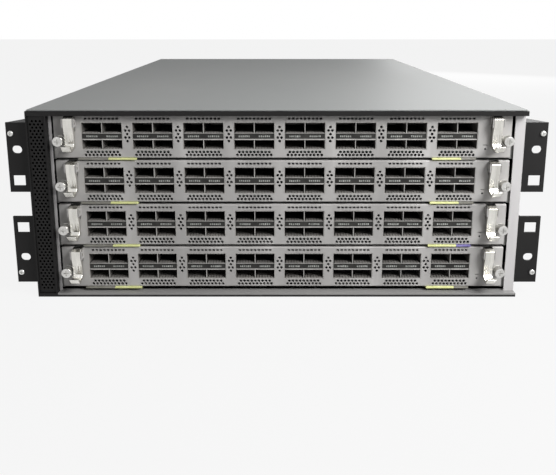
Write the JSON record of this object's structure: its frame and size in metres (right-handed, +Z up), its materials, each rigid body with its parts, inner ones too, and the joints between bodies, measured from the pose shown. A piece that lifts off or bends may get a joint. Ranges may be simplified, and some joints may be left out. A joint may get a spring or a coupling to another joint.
{
  "type": "modular ethernet switch chassis",
  "caption": "Rack-mount modular ethernet switch with horizontal line cards of stacked cage ports, ejector levers, thumbscrews, rack ears, fan trays and power supplies.",
  "frame": {"origin": "centre of the underside of the chassis", "axes": "+X to the right seen from the front, +Y from the port side towards the fans, +Z up"},
  "size_m": [0.4826, 0.6838, 0.175],
  "materials": {
    "cover_steel": "fine matt grey powder coat",
    "black_powder_coat": "matt black powder coat",
    "galvanised_steel": "bright galvanised sheet",
    "silver_panel": "satin silver-grey sheet",
    "cage_steel": "stamped spring steel",
    "circuit_board": "green solder mask",
    "heat_sink_aluminium": "extruded, bead blasted",
    "polished_lever": "polished die casting",
    "screw_steel": "turned steel",
    "black_plastic": "moulded black plastic",
    "connector_plastic": "moulded connector body"
  },
  "bodies": {
    "chassis": {"base_pan": "black_powder_coat", "top_cover": "cover_steel", "front_frame": "black_powder_coat", "intake_grille": "black_powder_coat", "guide_wall_left": "galvanised_steel", "guide_wall_right": "galvanised_steel", "card_shelves": "black_powder_coat", "midplane": "circuit_board", "midplane_connectors": "connector_plastic", "bay_shelf": "galvanised_steel", "rear_frame": "cover_steel", "service_panel": "cover_steel", "service_sockets": "cage_steel", "ear_lower_left": "black_powder_coat", "ear_lower_right": "black_powder_coat", "ear_upper_left": "black_powder_coat", "ear_upper_right": "black_powder_coat", "ear_screws": "screw_steel"},
    "card_1": {"card_1_panel": "silver_panel", "card_1_cages": "cage_steel", "card_1_board": "circuit_board", "card_1_heat_sink": "heat_sink_aluminium"},
    "card_1_lever_left": {"card_1_lever_left": "polished_lever"},
    "card_1_thumbscrew_left": {"card_1_thumbscrew_left": "screw_steel"},
    "card_1_lever_right": {"card_1_lever_right": "polished_lever"},
    "card_1_thumbscrew_right": {"card_1_thumbscrew_right": "screw_steel"},
    "card_2": {"card_2_panel": "silver_panel", "card_2_cages": "cage_steel", "card_2_board": "circuit_board", "card_2_heat_sink": "heat_sink_aluminium"},
    "card_2_lever_left": {"card_2_lever_left": "polished_lever"},
    "card_2_thumbscrew_left": {"card_2_thumbscrew_left": "screw_steel"},
    "card_2_lever_right": {"card_2_lever_right": "polished_lever"},
    "card_2_thumbscrew_right": {"card_2_thumbscrew_right": "screw_steel"},
    "card_3": {"card_3_panel": "silver_panel", "card_3_cages": "cage_steel", "card_3_board": "circuit_board", "card_3_heat_sink": "heat_sink_aluminium"},
    "card_3_lever_left": {"card_3_lever_left": "polished_lever"},
    "card_3_thumbscrew_left": {"card_3_thumbscrew_left": "screw_steel"},
    "card_3_lever_right": {"card_3_lever_right": "polished_lever"},
    "card_3_thumbscrew_right": {"card_3_thumbscrew_right": "screw_steel"},
    "card_4": {"card_4_panel": "silver_panel", "card_4_cages": "cage_steel", "card_4_board": "circuit_board", "card_4_heat_sink": "heat_sink_aluminium"},
    "card_4_lever_left": {"card_4_lever_left": "polished_lever"},
    "card_4_thumbscrew_left": {"card_4_thumbscrew_left": "screw_steel"},
    "card_4_lever_right": {"card_4_lever_right": "polished_lever"},
    "card_4_thumbscrew_right": {"card_4_thumbscrew_right": "screw_steel"},
    "fan_tray_1": {"fan_tray_1": "black_plastic"},
    "fan_rotor_1": {"fan_rotor_1": "black_plastic"},
    "fan_tray_2": {"fan_tray_2": "black_plastic"},
    "fan_rotor_2": {"fan_rotor_2": "black_plastic"},
    "fan_tray_3": {"fan_tray_3": "black_plastic"},
    "fan_rotor_3": {"fan_rotor_3": "black_plastic"},
    "power_supply_1": {"power_supply_1": "cover_steel"},
    "power_supply_2": {"power_supply_2": "cover_steel"},
    "power_supply_3": {"power_supply_3": "cover_steel"},
    "power_supply_4": {"power_supply_4": "cover_steel"}
  },
  "joints": [
    {"name": "card_1_slide", "type": "slide", "parent": "chassis", "child": "card_1", "axis": [0, -1, 0], "range_m": [0, 0.3]},
    {"name": "card_1_lever_left_hinge", "type": "hinge", "parent": "card_1", "child": "card_1_lever_left", "pos_m": [-0.1838, -0.3232, 0.0402], "axis": [-1, 0, 0], "range_deg": [0, 70]},
    {"name": "card_1_thumbscrew_left_turn", "type": "hinge", "parent": "card_1", "child": "card_1_thumbscrew_left", "pos_m": [-0.193, -0.319, 0.0241], "axis": [0, -1, 0], "continuous": true},
    {"name": "card_1_lever_right_hinge", "type": "hinge", "parent": "card_1", "child": "card_1_lever_right", "pos_m": [0.1948, -0.3232, 0.0402], "axis": [-1, 0, 0], "range_deg": [0, 70]},
    {"name": "card_1_thumbscrew_right_turn", "type": "hinge", "parent": "card_1", "child": "card_1_thumbscrew_right", "pos_m": [0.2044, -0.319, 0.0241], "axis": [0, -1, 0], "continuous": true},
    {"name": "card_2_slide", "type": "slide", "parent": "chassis", "child": "card_2", "axis": [0, -1, 0], "range_m": [0, 0.3]},
    {"name": "card_2_lever_left_hinge", "type": "hinge", "parent": "card_2", "child": "card_2_lever_left", "pos_m": [-0.1838, -0.3232, 0.0812], "axis": [-1, 0, 0], "range_deg": [0, 70]},
    {"name": "card_2_thumbscrew_left_turn", "type": "hinge", "parent": "card_2", "child": "card_2_thumbscrew_left", "pos_m": [-0.193, -0.319, 0.0651], "axis": [0, -1, 0], "continuous": true},
    {"name": "card_2_lever_right_hinge", "type": "hinge", "parent": "card_2", "child": "card_2_lever_right", "pos_m": [0.1948, -0.3232, 0.0812], "axis": [-1, 0, 0], "range_deg": [0, 70]},
    {"name": "card_2_thumbscrew_right_turn", "type": "hinge", "parent": "card_2", "child": "card_2_thumbscrew_right", "pos_m": [0.2044, -0.319, 0.0651], "axis": [0, -1, 0], "continuous": true},
    {"name": "card_3_slide", "type": "slide", "parent": "chassis", "child": "card_3", "axis": [0, -1, 0], "range_m": [0, 0.3]},
    {"name": "card_3_lever_left_hinge", "type": "hinge", "parent": "card_3", "child": "card_3_lever_left", "pos_m": [-0.1838, -0.3232, 0.1222], "axis": [-1, 0, 0], "range_deg": [0, 70]},
    {"name": "card_3_thumbscrew_left_turn", "type": "hinge", "parent": "card_3", "child": "card_3_thumbscrew_left", "pos_m": [-0.193, -0.319, 0.1061], "axis": [0, -1, 0], "continuous": true},
    {"name": "card_3_lever_right_hinge", "type": "hinge", "parent": "card_3", "child": "card_3_lever_right", "pos_m": [0.1948, -0.3232, 0.1222], "axis": [-1, 0, 0], "range_deg": [0, 70]},
    {"name": "card_3_thumbscrew_right_turn", "type": "hinge", "parent": "card_3", "child": "card_3_thumbscrew_right", "pos_m": [0.2044, -0.319, 0.1061], "axis": [0, -1, 0], "continuous": true},
    {"name": "card_4_slide", "type": "slide", "parent": "chassis", "child": "card_4", "axis": [0, -1, 0], "range_m": [0, 0.3]},
    {"name": "card_4_lever_left_hinge", "type": "hinge", "parent": "card_4", "child": "card_4_lever_left", "pos_m": [-0.1838, -0.3232, 0.1632], "axis": [-1, 0, 0], "range_deg": [0, 70]},
    {"name": "card_4_thumbscrew_left_turn", "type": "hinge", "parent": "card_4", "child": "card_4_thumbscrew_left", "pos_m": [-0.193, -0.319, 0.1471], "axis": [0, -1, 0], "continuous": true},
    {"name": "card_4_lever_right_hinge", "type": "hinge", "parent": "card_4", "child": "card_4_lever_right", "pos_m": [0.1948, -0.3232, 0.1632], "axis": [-1, 0, 0], "range_deg": [0, 70]},
    {"name": "card_4_thumbscrew_right_turn", "type": "hinge", "parent": "card_4", "child": "card_4_thumbscrew_right", "pos_m": [0.2044, -0.319, 0.1471], "axis": [0, -1, 0], "continuous": true},
    {"name": "fan_tray_1_slide", "type": "slide", "parent": "chassis", "child": "fan_tray_1", "axis": [0, 1, 0], "range_m": [0, 0.11]},
    {"name": "fan_rotor_1_spin", "type": "hinge", "parent": "fan_tray_1", "child": "fan_rotor_1", "pos_m": [-0.145, 0.29, 0.1074], "axis": [0, 1, 0], "continuous": true},
    {"name": "fan_tray_2_slide", "type": "slide", "parent": "chassis", "child": "fan_tray_2", "axis": [0, 1, 0], "range_m": [0, 0.11]},
    {"name": "fan_rotor_2_spin", "type": "hinge", "parent": "fan_tray_2", "child": "fan_rotor_2", "pos_m": [0, 0.29, 0.1074], "axis": [0, 1, 0], "continuous": true},
    {"name": "fan_tray_3_slide", "type": "slide", "parent": "chassis", "child": "fan_tray_3", "axis": [0, 1, 0], "range_m": [0, 0.11]},
    {"name": "fan_rotor_3_spin", "type": "hinge", "parent": "fan_tray_3", "child": "fan_rotor_3", "pos_m": [0.145, 0.29, 0.1074], "axis": [0, 1, 0], "continuous": true},
    {"name": "power_supply_1_slide", "type": "slide", "parent": "chassis", "child": "power_supply_1", "axis": [0, 1, 0], "range_m": [0, 0.25]},
    {"name": "power_supply_2_slide", "type": "slide", "parent": "chassis", "child": "power_supply_2", "axis": [0, 1, 0], "range_m": [0, 0.25]},
    {"name": "power_supply_3_slide", "type": "slide", "parent": "chassis", "child": "power_supply_3", "axis": [0, 1, 0], "range_m": [0, 0.25]},
    {"name": "power_supply_4_slide", "type": "slide", "parent": "chassis", "child": "power_supply_4", "axis": [0, 1, 0], "range_m": [0, 0.25]}
  ]
}
